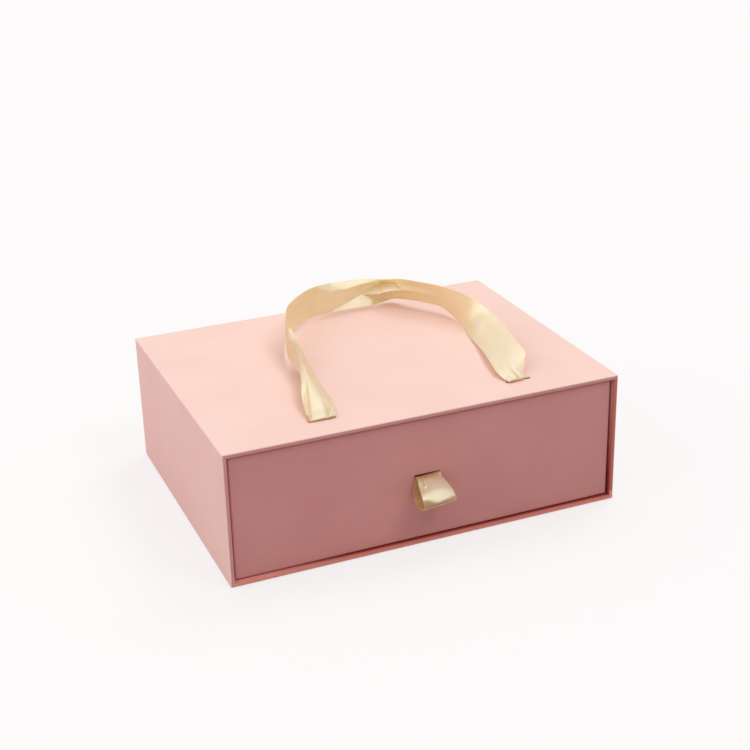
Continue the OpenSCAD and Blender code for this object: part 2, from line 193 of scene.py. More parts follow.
# Opposite corners of the sleeve and of the drawer's tray, in mm.
SLEEVE_LOW, SLEEVE_HIGH = (-BOX_W / 2, -BOX_D / 2, 0), (BOX_W / 2, BOX_D / 2, BOX_H)
TRAY_LOW, TRAY_HIGH = (-116.4, FRONT_Y, 3.0), (116.4, 87.0, 77.0)
BOARD_IN = 2.5                   # a little more than a board's thickness, in mm
SLIT_NEAR = 1.4                  # half the height of the painted shade round a slit, in mm

# The sleeve's wrap: its left side, tinted pinker as painted light, its rubbed folds, and the
# painted shade of what goes round the open front's rim.
LEFT_SIDE_PAINTED_LIGHT, RUBBED = shade((243, 196, 190)), shade((250, 226, 217))
RIM_TOP, RIM_BOTTOM = shade((202, 145, 139)), shade((240, 154, 140))
RIM_LEFT, RIM_RIGHT = shade((208, 149, 143)), shade((194, 110, 100))
RIM_RECESS_SHADE, RIM_PATCH = shade((176, 92, 80)), shade((204, 112, 98))
FLAP_HIGH, FLAP_LOW = shade((226, 160, 152)), shade((156, 66, 59))

# The satin: its two creams, between the threads, the selvedge, its golden painted shade, where
# light goes through it, and painted shade inside a slit.
CREAM_DEEP, CREAM_LIGHT = shade((247, 243, 214)), shade((250, 247, 225))
THREAD_GAP, SELVEDGE = shade((236, 216, 174)), shade((250, 232, 196))
GOLDEN_PAINTED_SHADE, LIT_THROUGH, SLIT_PAINTED_SHADE = shade((216, 162, 98)), shade((255, 222, 150)), shade((78, 36, 24))


def paper(s, tone, dark, rough=0.62, grain=0.00003):
    """Matt-laminated paper: fine fibre grain over the tone, with faint flecks of the dark one."""
    fibre = s.noise(s.where(), 1500, 4, 0.6)
    s.put(s.bsdf.inputs["Base Color"], s.mix(s.span(fibre, 0.62, 0.8, 0, 0.35), tone, dark))
    s.put(s.bsdf.inputs["Roughness"], s.span(fibre, 0.3, 0.7, rough - 0.05, rough + 0.06))
    s.bsdf.inputs["Specular IOR Level"].default_value = 0.35
    s.put(s.bsdf.inputs["Normal"], s.bump(fibre, grain))
    return s.mat


def clouds(s, colour, dark, scale=22):
    """A slow, faint change between two tones over the sheet."""
    return s.mix(s.span(s.noise(s.where(), scale, 3, 0.5), 0.3, 0.7, 0, 0.5), colour, dark)


def box_edges(s, low, high):
    """Distance to the nearest edge of a box, from the distances to its faces."""
    near = []
    for value, a, b in zip(s.xyz(), low, high):
        to_low = s.math("ABSOLUTE", s.math("SUBTRACT", value, a * MM))
        to_high = s.math("ABSOLUTE", s.math("SUBTRACT", b * MM, value))
        near.append(s.math("MINIMUM", to_low, to_high))
    pairs = [s.math("MAXIMUM", near[i], near[j]) for i, j in ((0, 1), (0, 2), (1, 2))]
    return s.math("MINIMUM", s.math("MINIMUM", *pairs[:2]), pairs[2])


def worn(s, tone, edge, colour, reach=0.0011, share=0.5):
    """The fold at an edge, where the coating is stretched pale, here more and there less."""
    rub = s.span(s.noise(s.where(), 160, 3, 0.6), 0.25, 0.7, 0.35, 1)
    return s.mix(s.math("MULTIPLY", s.span(edge, 0, reach, share, 0), rub), tone, colour)


def sleeve_rim(s, x, y, z, to_side, to_flat, depth):
    """The wrap's tone where it goes round the open front's rim and in, painted deeper as shade.
    Places are in metres.
    """
    # the rim's front face, painted deeper than the wrap as shade: one tone on each wall for the
    # light on it, meeting at the mitres
    flat = s.mix(s.math("GREATER_THAN", z, BOX_H / 2 * MM), RIM_BOTTOM, RIM_TOP)
    upright = s.mix(s.math("LESS_THAN", x, 0), RIM_RIGHT, RIM_LEFT)
    rim = s.mix(s.math("LESS_THAN", to_side, to_flat), flat, upright)
    # painted shade, darker towards the drawer, but not high up or at the left, and darker here and
    # there
    upwards, leftwards = s.span(z, 0.006, 0.078), s.span(x, -0.04, -0.112)
    open_to_light = s.math("ADD", upwards, leftwards, clamp=True)
    recess_shade = s.span(depth, 0.0008, 0.0026, 0, 0.4)
    recess_shade = s.math("MULTIPLY", recess_shade, s.math("SUBTRACT", 1.0, open_to_light))
    rim = s.mix(recess_shade, rim, RIM_RECESS_SHADE)
    patches = s.span(s.noise(s.where(), 90, 3, 0.6), 0.35, 0.7, 0, 0.22)
    rim = s.mix(patches, rim, RIM_PATCH)
    # the flap behind the front face, painted in deep shade, deepest where least open to light
    behind = s.span(y, -0.0901, -0.0884)
    return s.mix(behind, rim, s.mix(open_to_light, FLAP_LOW, FLAP_HIGH))


def sleeve_paper(name, colour, dark):
    """The wrap's outside, tinted pinker on the left as painted light, rubbed at its folds, and its
    rim painted deeper as shade.
    """
    s = Shade(name)
    x, y, z = s.xyz()
    # painted light: the left side is tinted pinker, more in some places than others
    flush = s.span(s.noise(s.where(), 12, 2, 0.5), 0.3, 0.7, 0.55, 1)
    left = s.math("MULTIPLY", s.span(x, -0.1194, -0.1199), flush)
    tone = s.mix(left, clouds(s, colour, dark), LEFT_SIDE_PAINTED_LIGHT)
    tone = worn(s, tone, box_edges(s, SLEEVE_LOW, SLEEVE_HIGH), RUBBED)
    # depth below the outside, at the nearest of the four walls
    to_side = s.math("SUBTRACT", BOX_W / 2 * MM, s.math("ABSOLUTE", x))
    to_flat = s.math("MINIMUM", z, s.math("SUBTRACT", BOX_H * MM, z))
    depth = s.math("MINIMUM", to_side, to_flat)
    rim = sleeve_rim(s, x, y, z, to_side, to_flat, depth)
    # all that lies below the outside, as far in as the turned-in flap reaches, takes the rim's
    # painted shade
    turned_in = s.span(y, -0.0740, -0.0738, 1, 0, "LINEAR")
    below = s.math("MULTIPLY", s.span(depth, 0.0002, 0.0009), turned_in)
    return paper(s, s.mix(below, tone, rim), dark)


def drawer_paper(name, colour, dark):
    """The drawer's wrap, a little paler along its folds."""
    s = Shade(name)
    edge, rubbed = box_edges(s, TRAY_LOW, TRAY_HIGH), shade((232, 174, 166))
    return paper(s, worn(s, clouds(s, colour, dark), edge, rubbed, 0.0010, 0.45), dark)


def lap_paper(name, colour, dark):
    """The small lapped folds at the rim's corners."""
    s = Shade(name)
    rub, rubbed = s.span(s.noise(s.where(), 300, 3, 0.6), 0.3, 0.7, 0, 0.5), shade((248, 190, 180))
    return paper(s, s.mix(rub, clouds(s, colour, dark, 60), rubbed), dark)


def lining_paper(name, colour, dark):
    """Plain uncoated paper."""
    s = Shade(name)
    return paper(s, clouds(s, colour, dark), dark, rough=0.8, grain=0.00005)


def satin(name):
    """Double-faced satin: warp floats along the ribbon, a woven selvedge, light through it, and
    painted shade in its folds and slits.
    """
    s = Shade(name)
    along, across = s.attribute("along"), s.attribute("across")

    def stretched(u, v, detail):
        line = s.add("ShaderNodeCombineXYZ")
        s.put(line.inputs[0], s.math("MULTIPLY", across, u))
        s.put(line.inputs[1], s.math("MULTIPLY", along, v))
        return s.noise(line.outputs[0], 1.0, detail, 0.5)

    threads = stretched(150, 420, 2)
    streaks = stretched(7, 14, 1)
    tone = s.mix(s.span(streaks, 0.3, 0.7), CREAM_DEEP, CREAM_LIGHT)
    tone = s.mix(s.span(threads, 0.5, 0.75, 0, 0.09), tone, THREAD_GAP)
    edge = s.span(s.math("ABSOLUTE", s.math("SUBTRACT", across, 0.5)), 0.47, 0.488)
    tone = s.mix(s.math("MULTIPLY", edge, 0.45), tone, SELVEDGE)
    # painted shade, in deep gold, where the golden attribute says
    tone = s.mix(s.math("MULTIPLY", s.attribute("golden"), 0.85), tone, GOLDEN_PAINTED_SHADE)
    # painted shade where the ribbon is tucked into a slit
    inside = s.span(s.attribute("tucked"), 0.3, 1, 0, 0.9)
    tone = s.mix(inside, tone, SLIT_PAINTED_SHADE)
    s.put(s.bsdf.inputs["Base Color"], tone)
    s.bsdf.inputs["Metallic"].default_value = 0.45
    s.bsdf.inputs["Roughness"].default_value = 0.32
    s.bsdf.inputs["Sheen Weight"].default_value = 0.1
    s.bsdf.inputs["Sheen Roughness"].default_value = 0.4
    s.put(s.bsdf.inputs["Normal"], s.bump(threads, 0.00003))
    through = s.add("ShaderNodeBsdfTranslucent")
    # the light through the ribbon takes the painted slit shade as well
    s.put(through.inputs["Color"], s.mix(inside, s.mix(0.8, tone, LIT_THROUGH), SLIT_PAINTED_SHADE))
    s.both(0.32, s.bsdf, through)
    return s.mat


def board(name):
    """Greyboard, with painted shade on the cut edges inside the slits for the ribbons."""
    s = Shade(name)
    fibre = s.noise(s.where(), 700, 5, 0.65)
    _, y, z = s.xyz()
    # painted shade: the cut edges round each slit are dark
    in_front = s.math("LESS_THAN", y, (FRONT_Y + BOARD_IN) * MM)
    on_top = s.math("GREATER_THAN", z, (BOX_H - BOARD_IN) * MM)
    pull = s.math("MULTIPLY", s.math("COMPARE", z, PULL_Z * MM, SLIT_NEAR * MM), in_front)
    handle = s.math("MULTIPLY", s.math("COMPARE", y, HANDLE_Y * MM, SLIT_NEAR * MM), on_top)
    grey = s.ramp(fibre, (0.3, shade((128, 122, 114))), (0.7, shade((176, 168, 156))))
    tone = s.mix(s.math("MAXIMUM", pull, handle), grey, shade((104, 38, 30)))
    s.put(s.bsdf.inputs["Base Color"], tone)
    s.bsdf.inputs["Roughness"].default_value = 0.9
    s.put(s.bsdf.inputs["Normal"], s.bump(fibre, 0.00008))
    return s.mat


def kraft(name):
    """Gummed tape, its fibres drawn out upwards."""
    s = Shade(name)
    fibre = s.noise(s.where((1, 1, 0.25)), 900, 4, 0.6)
    tone = s.ramp(fibre, (0.3, shade((164, 124, 82))), (0.75, shade((196, 158, 112))))
    s.put(s.bsdf.inputs["Base Color"], tone)
    s.bsdf.inputs["Roughness"].default_value = 0.8
    s.put(s.bsdf.inputs["Normal"], s.bump(fibre, 0.00005))
    return s.mat


MAT = {
    "sleeve": sleeve_paper("sleeve_paper", shade((243, 209, 198)), shade((238, 200, 189))),
    "drawer": drawer_paper("drawer_paper", shade((212, 147, 143)), shade((202, 136, 132))),
    "lap": lap_paper("lap_paper", shade((212, 136, 126)), shade((200, 118, 108))),
    "lap_edge": lap_paper("lap_edge_paper", shade((248, 206, 196)), shade((240, 184, 172))),
    "lining": lining_paper("lining_paper", shade((244, 234, 226)), shade((236, 224, 214))),
    "satin": satin("satin"),
    "board": board("greyboard"),
    "kraft": kraft("kraft"),
}


def coat(obj, key):
    """One material, and no other, on a piece."""
    obj.data.materials.clear()
    obj.data.materials.append(MAT[key])


def coat_cad():
    """Each solid's material, from its name."""
    for name, obj in nodes.items():
        if name.endswith("_board"):
            coat(obj, "board")
        elif name.startswith("drawer_tape"):
            coat(obj, "kraft")
        elif name.endswith("_liner") or name.endswith("_patch"):
            coat(obj, "lining")
        elif name.startswith("drawer") and name.endswith("paper"):
            coat(obj, "drawer")
        elif name.endswith("paper"):
            coat(obj, "sleeve")
        else:
            coat(obj, "satin")


# ------------------------------------------------------------------ ribbons

RIBBON_T = 0.3                   # mm thick
WIDTH, GATHERED = 20.0, 15.4     # mm across, flat and in a slit
PITCH = 10.0                     # mm a station, for the nets of creases
STEPS, COLS = 14, 34             # rows a station, and cells across
CLEAR = 0.55                     # least height of the handle's loop over the panel
CRISP = 32.0                     # creases sharper than this many degrees are crisp
TOWARD_FRONT = (-0.348, -0.848, 0.400)   # the way in which creases stand out

# Free ribbon of the handle: [one edge, middle, other edge], each x, y behind the slits, z above
# the panel, in mm.
HANDLE = [
    [[-63.5, 5.5, 1.8], [-55.5, 5.5, 3.2], [-46.8, 5, 1.6]],
    [[-62.5, 11, 3.2], [-54, 11.5, 5.2], [-45.5, 11.5, 2.2]],
    [[-61, 18.5, 5.5], [-52.8, 19.5, 7.5], [-44, 21.5, 2.4]],
    [[-58.5, 26, 8.2], [-52.3, 27.5, 10], [-43, 32.5, 2.4]],
    [[-55.5, 34.5, 9.6], [-51, 38, 12.4], [-42, 43.5, 2.8]],
    [[-53, 43, 9.4], [-49.5, 47.5, 13], [-41.2, 52.5, 3.8]],
    [[-51.5, 52.5, 8], [-48, 56, 14], [-40.8, 60.5, 5.6]],
    [[-50, 63.5, 6.4], [-46.6, 65, 15.2], [-40.6, 67.5, 8]],
    [[-48, 74.5, 5], [-45.5, 74.5, 15.8], [-41, 76, 12.4]],
    [[-46, 83.5, 3.6], [-44.9, 83.5, 15], [-42, 84.3, 18]],
    [[-43.3, 93.5, 3], [-43.6, 93, 13.6], [-43, 92.7, 22.2]],
    [[-39.5, 103.5, 3.6], [-40.2, 102.5, 13.6], [-40.4, 101, 23.5]],
    [[-33.5, 114, 5], [-34, 113.5, 15], [-33.5, 113, 25]],
    [[-19, 130.5, 4], [-18.5, 130.8, 14], [-17.5, 131, 24]],
    [[-8, 141, 2], [-7.5, 141.5, 12], [-6, 142, 22]],
    [[4, 146.5, 0.6], [4.5, 147, 10.6], [5, 147.8, 20.5]],
    [[14, 147.7, 0.5], [13.7, 147.8, 10.5], [13.5, 147.8, 20.5]],
    [[24.5, 147.4, 0.5], [24.5, 147.2, 10.5], [24.5, 147, 20.5]],
    [[33.5, 147.2, 0.5], [33.5, 146.5, 10.5], [33, 145, 20.4]],
    [[40, 148.2, 0.6], [39.5, 146.5, 10], [38.3, 143, 19.8]],
    [[46, 148.7, 1.6], [43.8, 145.5, 10.8], [41.8, 141, 20]],
    [[51, 146.5, 3], [47.5, 142.8, 12], [44.3, 138, 20.6]],
    [[55.9, 139.2, 4], [51.5, 137, 13], [47.3, 134, 21.4]],
    [[60, 132.8, 4.5], [56, 130.6, 13.5], [51.8, 128, 22]],
    [[67.5, 122, 4.5], [64, 119.6, 13.3], [60.3, 116.8, 22]],
    [[70.8, 116.5, 4], [67.7, 114.4, 13.2], [64.2, 111.8, 21.8]],
    [[73, 107.5, 2], [71.2, 106.3, 11.8], [69, 104.5, 21.3]],
    [[73, 95.5, 1], [73.2, 95.5, 11], [73, 95, 21]],
    [[71.5, 84.5, 0.8], [74.3, 84, 10.5], [77, 83, 19.8]],
    [[69.1, 76, 1], [74.4, 75.3, 9.6], [79.3, 74, 18.2]],
    [[66.5, 65.5, 2], [73.6, 64.5, 9.4], [81, 63, 16.2]],
    [[64.5, 54.5, 3], [73, 53.5, 8.8], [81.7, 51.5, 13.8]],
    [[60.5, 35.5, 4.6], [69.7, 34.5, 9], [79, 32.5, 12.3]],
    [[58.4, 26.5, 4.6], [67.6, 25.5, 9], [77, 23, 11.6]],
    [[56.4, 17, 4.2], [66, 16.5, 8], [75.6, 15, 9]],
    [[55.2, 9.5, 3.2], [65, 9.5, 6], [73.2, 8.5, 5.4]],
    [[55.8, 4, 2], [63, 4, 3.8], [69.8, 3.5, 2.8]],
]

# Free ribbon of the pull, likewise: x from the slit's middle, distance before the front, drop below
# the slit.
PULL = [
    [[-7.8, 4, 1.2], [0, 3.8, 0.4], [7.6, 3.4, 1.6]],
    [[-8.8, 8.6, 3.6], [0.2, 8, 2.0], [8.9, 7.8, 3.8]],
    [[-9.6, 13.4, 5.6], [0, 12.2, 4.3], [9.8, 11.8, 6.0]],
    [[-10, 16.3, 7.8], [0, 15.3, 7.0], [10, 14.9, 8.2]],
    [[-10, 16.8, 11.4], [0, 17.3, 9.8], [10, 17.2, 9.5]],
    [[-10, 16.1, 13.2], [0, 17, 11.6], [10, 17.6, 10.1]],
    [[-10, 15.2, 13.8], [0, 16, 12.3], [10, 16.8, 10.6]],
    [[-9.9, 11, 15.2], [0, 11.6, 13.8], [10, 12.4, 12.4]],
    [[-9.8, 6.4, 14.8], [0, 7, 13.6], [10, 7.8, 12.6]],
    [[-9.8, 2.6, 12.4], [0, 3.2, 11.8], [9.8, 3.8, 11]],
    [[-9.6, 1.3, 8.4], [0, 1.6, 8], [9.4, 1.9, 7.6]],
    [[-8.8, 1.2, 4], [0, 1.3, 4], [8.6, 1.4, 4]],
]

# Nets of creases that stand out of the smooth ribbons. Each line runs along a crease, and its
# points are (station, share of the width, height in mm); the cloth is straight between lines.
# CRUMPLE is the bend at the back of the handle's loop. RIGHT_BREAK goes across its right side, and
# RIGHT_EDGE is a short stretch of that side's outer edge.
CRUMPLE = [
    [(13.6, 1, 0), (15.2, 1, -1.2), (16.4, 1, -2.6), (17.6, 1, -3.8), (18.6, 1, -4.2),
     (19.4, 1, -4.2), (20.6, 1, -4.2), (21.8, 1, -3.4), (22.8, 1, -1.0), (25.5, 1, 0)],
    [(13.6, 0.7, 0), (15.2, 0.72, 1.6), (16.3, 0.70, 2.6), (17.2, 0.80, 0.8), (18.2, 0.88, -1.8),
     (19.1, 0.94, -3.6), (19.4, 1, -4.2)],
    [(17.3, 0.47, -1.4), (18.0, 0.62, -3.6), (18.7, 0.76, -5.8), (19.4, 0.86, -7.2),
     (20.6, 0.86, -7.4), (21.7, 0.82, -6.6), (22.3, 0.74, -2.8), (23.6, 0.72, -1.2), (25, 0.7, 0)],
    [(17.3, 0.47, -1.4), (18.2, 0.41, 3.4), (19.7, 0.37, 6.4), (20.8, 0.34, 6.6), (21.5, 0.37, 5.4),
     (22.2, 0.42, 2.2), (23.4, 0.47, 1.0), (24.8, 0.56, 0)],
    [(17.3, 0.47, -1.4), (18.2, 0.31, 0.2), (19.3, 0.12, 1.0), (20.3, 0.10, 0), (21.4, 0.12, 0.2),
     (22.8, 0.2, 0.3), (24.8, 0.3, 0)],
    [(13.6, 0, 0), (15.2, 0, 0.8), (15.9, 0, 3.8), (17.2, 0, 5.4), (18.3, 0, 5.0), (19.1, 0, 3.0),
     (19.6, 0, 1.0), (20.4, 0, 0), (21.4, 0, 0), (25.5, 0, 0)],
    [(15.2, 0.03, 0.6), (16.2, 0.18, 1.4), (16.8, 0.35, -0.1), (17.3, 0.47, -1.4)],
    [(13.6, 0.36, 0), (13.6, 0.5, 0)],
    [(25.5, 0.4, 0), (25.5, 0.6, 0)],
]
LEFT_FOOT = [
    [(-1.4, 0, 0), (-0.7, 0, 0.6), (0.5, 0, 1.6), (1.6, 0, 2), (2.9, 0, 1.4), (4.4, 0, 0)],
    [(-1.4, 0.08, 0), (-0.1, 0.12, -1.6), (1.1, 0.12, -2), (2, 0.18, -1.8), (3.4, 0.32, -1),
     (4.4, 0.4, 0)],
    [(-1.4, 0.15, 0), (-0.7, 0.15, 0.5), (0.3, 0.21, 1.3), (1.4, 0.24, 1.5), (2.4, 0.29, 1.2),
     (3.3, 0.41, 0.8), (4.4, 0.55, 0)],
    [(-1.4, 0.62, 0), (-0.9, 0.64, 0.8), (-0.2, 0.67, 1.8), (1, 0.62, 2.6), (1.9, 0.59, 2.6),
     (3, 0.59, 1.7), (4.4, 0.7, 0)],
    [(-1.6, 0.69, 0), (-0.7, 0.71, -2.4), (-0.1, 0.76, -3.2), (0.4, 0.87, -3.4), (0.7, 1, -2.8)],
    [(-1.6, 0.77, 0), (-1.1, 0.78, 1.6), (-0.5, 0.84, 3.0), (0, 0.91, 1.6)],
    [(-1.4, 1, 0), (-0.6, 1, 0.4), (0, 1, -0.4), (0.7, 1, -2.8), (1.3, 1, -3), (2, 1, -3),
     (3.4, 1, -2), (4.6, 1, 0)],
]
RIGHT_FOOT = [
    [(34.4, 0, 0), (36, 0, -0.6), (36.8, 0, -1), (37.4, 0, 0)],
    [(34.4, 0.12, 0), (36, 0.12, 0.6), (36.8, 0.15, 1.6), (37.4, 0.2, 0)],
    [(34.4, 0.3, 0), (35.8, 0.3, 0.3), (36.8, 0.34, 0.9), (37.4, 0.36, 0)],
    [(35.2, 0.43, 0), (35.9, 0.47, 0.9), (36.4, 0.50, 1.9), (36.9, 0.51, 2.2), (37.4, 0.52, 0)],
    [(35.2, 0.46, 0), (35.8, 0.53, -1), (36.3, 0.58, -1.8), (36.9, 0.59, -2), (37.4, 0.59, 0)],
    [(35.2, 0.6, 0.2), (36.2, 0.7, 0.8), (36.9, 0.74, 1.2), (37.4, 0.76, 0)],
    [(34.4, 1, 0), (36.2, 1, -0.6), (37.4, 1, 0)],
]
RIGHT_EDGE = [
    [(32.6, 1, 0), (33.4, 1, 0.7), (33.9, 1, 1.5), (34.2, 1, 1.6), (34.6, 1, 0.1)],
    [(32.6, 0.8, 0), (34.6, 0.8, 0)],
]
RIGHT_BREAK = [
    [(25.5, 0, 0), (25.5, 1, 0)],
    [(31.4, 0, -4.2), (30.6, 0.5, -4.2), (29.6, 1, -4.2)],
    [(35.6, 0, 0), (35.6, 1, 0)],
]
PULL_FOLDS = [
    [(-1.4, 0, 0), (0, 0, 0), (0.9, 0, 0.2), (1.5, 0, 0.6), (2.6, 0, -0.2), (3.6, 0, -1.6),
     (5.1, 0, -3.8), (5.8, 0, -2.4), (6.5, 0, -3), (8, 0, -1), (10, 0, 0)],
    [(-1.4, 0.17, 0), (-0.6, 0.17, -0.4), (0.3, 0.16, -0.6), (1.2, 0.13, 0)],
    [(-1.4, 0.25, 0), (-0.6, 0.25, 1.1), (0.3, 0.23, 1.4), (1.1, 0.19, 0.6)],
    [(-1.4, 0.33, 0), (-0.6, 0.32, -0.4), (0.4, 0.3, -0.6), (1.3, 0.25, 0)],
    [(1.5, 0, 0.6), (2.8, 0.13, 1.6), (3.6, 0.36, 2.0), (3.7, 0.5, 2.0), (3.5, 0.66, 1.9),
     (3.1, 0.9, 1.5), (3, 1, 1.2)],
    [(5.1, 0, -3.8), (5.1, 0.3, -4.4), (5.0, 0.7, -4.4), (4.9, 1, -3.8)],
    [(5.8, 0, -2.4), (5.8, 0.5, -2.6), (5.8, 1, -2.4)],
    [(6.5, 0, -3), (6.5, 0.5, -3.4), (6.5, 1, -3.2)],
    [(8, 0, -1), (8, 0.5, -1.4), (8, 1, -1.4)],
    [(10, 0, 0), (10, 1, 0)],
    [(-1.4, 1, 0), (0, 1, 0), (1.6, 1, 0.4), (3, 1, 1.2), (4.9, 1, -3.8), (5.8, 1, -2.4),
     (6.5, 1, -3.2), (8, 1, -1.4), (10, 1, 0)],
]

# The handle's nets in the order in which they are raised: net, direction, passes of blur.
HANDLE_CREASES = [
    (CRUMPLE, TOWARD_FRONT, 0),
    (LEFT_FOOT, TOWARD_FRONT, 1),
    (RIGHT_FOOT, TOWARD_FRONT, 1),
    (RIGHT_BREAK, TOWARD_FRONT, 2),
    (RIGHT_EDGE, (1, 0, 0.3), 0),
]


def twice_area(p, q, x, y):
    """Twice the area of the triangle p, q, (x, y), below 0 where it turns clockwise."""
    return (q[0] - p[0]) * (y - p[1]) - (q[1] - p[1]) * (x - p[0])


def net_height(lines, s, v):
    """Height of a net of creases over the grid of stations s and shares v, straight between its
    lines."""
    points, edges = [], []
    for line in lines:
        edges += [(len(points) + i, len(points) + i + 1) for i in range(len(line) - 1)]
        points += line
    flat = [Vector((a * PITCH, b * WIDTH)) for a, b, _ in points]
    corners, _, faces, origin, _, _ = delaunay_2d_cdt(flat, edges, [], 0, 1e-3)
    high = [sum(points[i][2] for i in o) / max(len(o), 1) for o in origin]
    at = np.stack(np.meshgrid(s * PITCH, v * WIDTH, indexing="ij"), -1)
    height = np.zeros(at.shape[:2])
    for face in faces:
        a, b, c = (np.array(corners[i]) for i in face)
        size = twice_area(a, b, c[0], c[1])
        if abs(size) < 1e-6:
            continue
        share = [twice_area(p, q, at[..., 0], at[..., 1]) / size
                 for p, q in ((b, c), (c, a), (a, b))]
        inside = np.min(share, axis=0) > -1e-6
        height[inside] = sum(w * high[i] for w, i in zip(share, face))[inside]
    return height


def soften(h):
    """One pass of a small blur along and across."""
    p = np.pad(h, 1, mode="edge")
    p = (p[:-2] + 2 * p[1:-1] + p[2:]) / 4
    return (p[:, :-2] + 2 * p[:, 1:-1] + p[:, 2:]) / 4


def crease(g, lead, lines, toward, passes):
    """Stands a net of creases out of the grid g, along the direction toward."""
    height = net_height(lines, places(g, lead), np.linspace(0, 1, g.shape[1]))
    for _ in range(passes):
        height = soften(height)
    return g + height[..., None] * np.array(Vector(toward).normalized())


def straight(x, width, y, z):
    """A station that runs straight across X."""
    return [[x + u * width / 2, y, z] for u in (-1, 0, 1)]


def handle_stations():
    """The whole ribbon: left end under the panel, up its slit, the loop, down the right slit. Also
    how many stations come before the loop."""
    under = -2.78                    # where the ends are glued, from the panel's top
    x = -56.5                        # the ribbon's middle in the left slit
    left = [straight(x, WIDTH, y, under) for y in (28, 15, 4)]
    left += [straight(x, 17.5, 1.0, under), straight(x, GATHERED, 0.1, -2.1)]
    left += [straight(x, GATHERED, 0, -1.2), straight(x, GATHERED, -0.3, -0.15)]
    left += [straight(x - 0.25, 15.9, -1.25, 0.26)]
    left += [[[-64.6, -1.0, 1.1], [-57, -1.5, 1.7], [-48.8, -1.0, 1.7]]]
    right = [[[57.0, -1.5, 1.1], [62.6, -1.5, 1.9], [69.0, -0.2, 1.5]]]
    right += [straight(62.6, 10.6, -1.25, 0.26)]
    right += [straight(62.3, 10.2, -0.3, -0.15), straight(62.3, 10.2, 0, -1.2)]
    right += [straight(62.3, 10.6, 0.1, -2.1), straight(63.2, 15, 1.0, under)]
    right += [straight(64.5, WIDTH, y, under) for y in (4, 15, 28)]
    stations = np.array(left + HANDLE + right, float)
    stations[..., 1] += HANDLE_Y
    stations[..., 2] += BOX_H
    return stations, len(left)


def pull_stations():
    """Upper leg's end inside the drawer's front, the loop, and the lower leg's end. Also how many
    stations come before the loop."""
    over, under = -3.1, -2.7         # where the two ends are glued, one on the other
    upper = [straight(0, WIDTH, over, h) for h in (28, 15, 4)]
    upper += [straight(0, 17.5, over, 1.0), straight(0, GATHERED, -2.6, -0.2)]
    upper += [straight(0, GATHERED, -1.4, 0), [[-7.7, 0, 0.1], [0, 0, 0.05], [7.7, 0, -0.5]]]
    upper += [[[-7.7, 1.2, 0.3], [0, 1.2, 0.05], [7.6, 1.2, -0.2]]]
    lower = [straight(0, GATHERED, 1.0, 0.85)]
    lower += [straight(0, GATHERED, 0.0, 0.55), straight(0, GATHERED, -1.2, 0.55)]
    lower += [straight(0, GATHERED, -2.2, 0.4), straight(0, 17.5, under, 1.6)]
    lower += [straight(0, WIDTH, under, h) for h in (4, 15, 28)]
    drawn = np.array(upper + PULL + lower, float)
    stations = np.array((PULL_X, FRONT_Y, PULL_Z)) + drawn * (1, -1, -1)
    return stations, len(upper)


def smooth_through(stations):
    """Catmull-Rom curves through the stations, STEPS rows from each to the next."""
    out = []
    last = len(stations) - 1
    for i in range(last * STEPS + 1):
        s = i / STEPS
        k = min(int(s), last - 1)
        t = s - k
        p0, p1 = stations[max(k - 1, 0)], stations[k]
        p2, p3 = stations[k + 1], stations[min(k + 2, last)]
        out.append((2 * p1 + (p2 - p0) * t + (2 * p0 - 5 * p1 + 4 * p2 - p3) * t**2
                    + (3 * p1 - p0 - 3 * p2 + p3) * t**3) / 2)
    return np.array(out)


def places(g, lead):
    """The station of each row of the grid g, counted from the loop's first one."""
    return np.arange(len(g)) / STEPS - lead


def surface(stations, lead, folded):
    """Ribbon grid through the stations: round across, or bent along its middle line by the share
    that folded gives for a station."""
    rails = smooth_through(stations)
    u = np.linspace(0, 1, COLS + 1)[None, :, None]
    a, m, b = (rails[:, k : k + 1] for k in range(3))
    curved = a * (1 - u) * (1 - 2 * u) + 4 * m * u * (1 - u) + b * u * (2 * u - 1)
    bent = np.where(u < 0.5, a + (m - a) * 2 * u, m + (b - m) * (2 * u - 1))
    share = folded(places(rails, lead))[:, None, None]
    return curved * (1 - share) + bent * share


def ease(x, low, high):
    """0 before low, 1 after high, smooth between."""
    t = np.clip((x - low) / (high - low), 0, 1)
    return t * t * (3 - 2 * t)


def grid_normals(g):
    """The unit normal at each point of the grid."""
    n = np.cross(np.gradient(g, axis=0), np.gradient(g, axis=1))
    return n / np.maximum(np.linalg.norm(n, axis=2, keepdims=True), 1e-9)


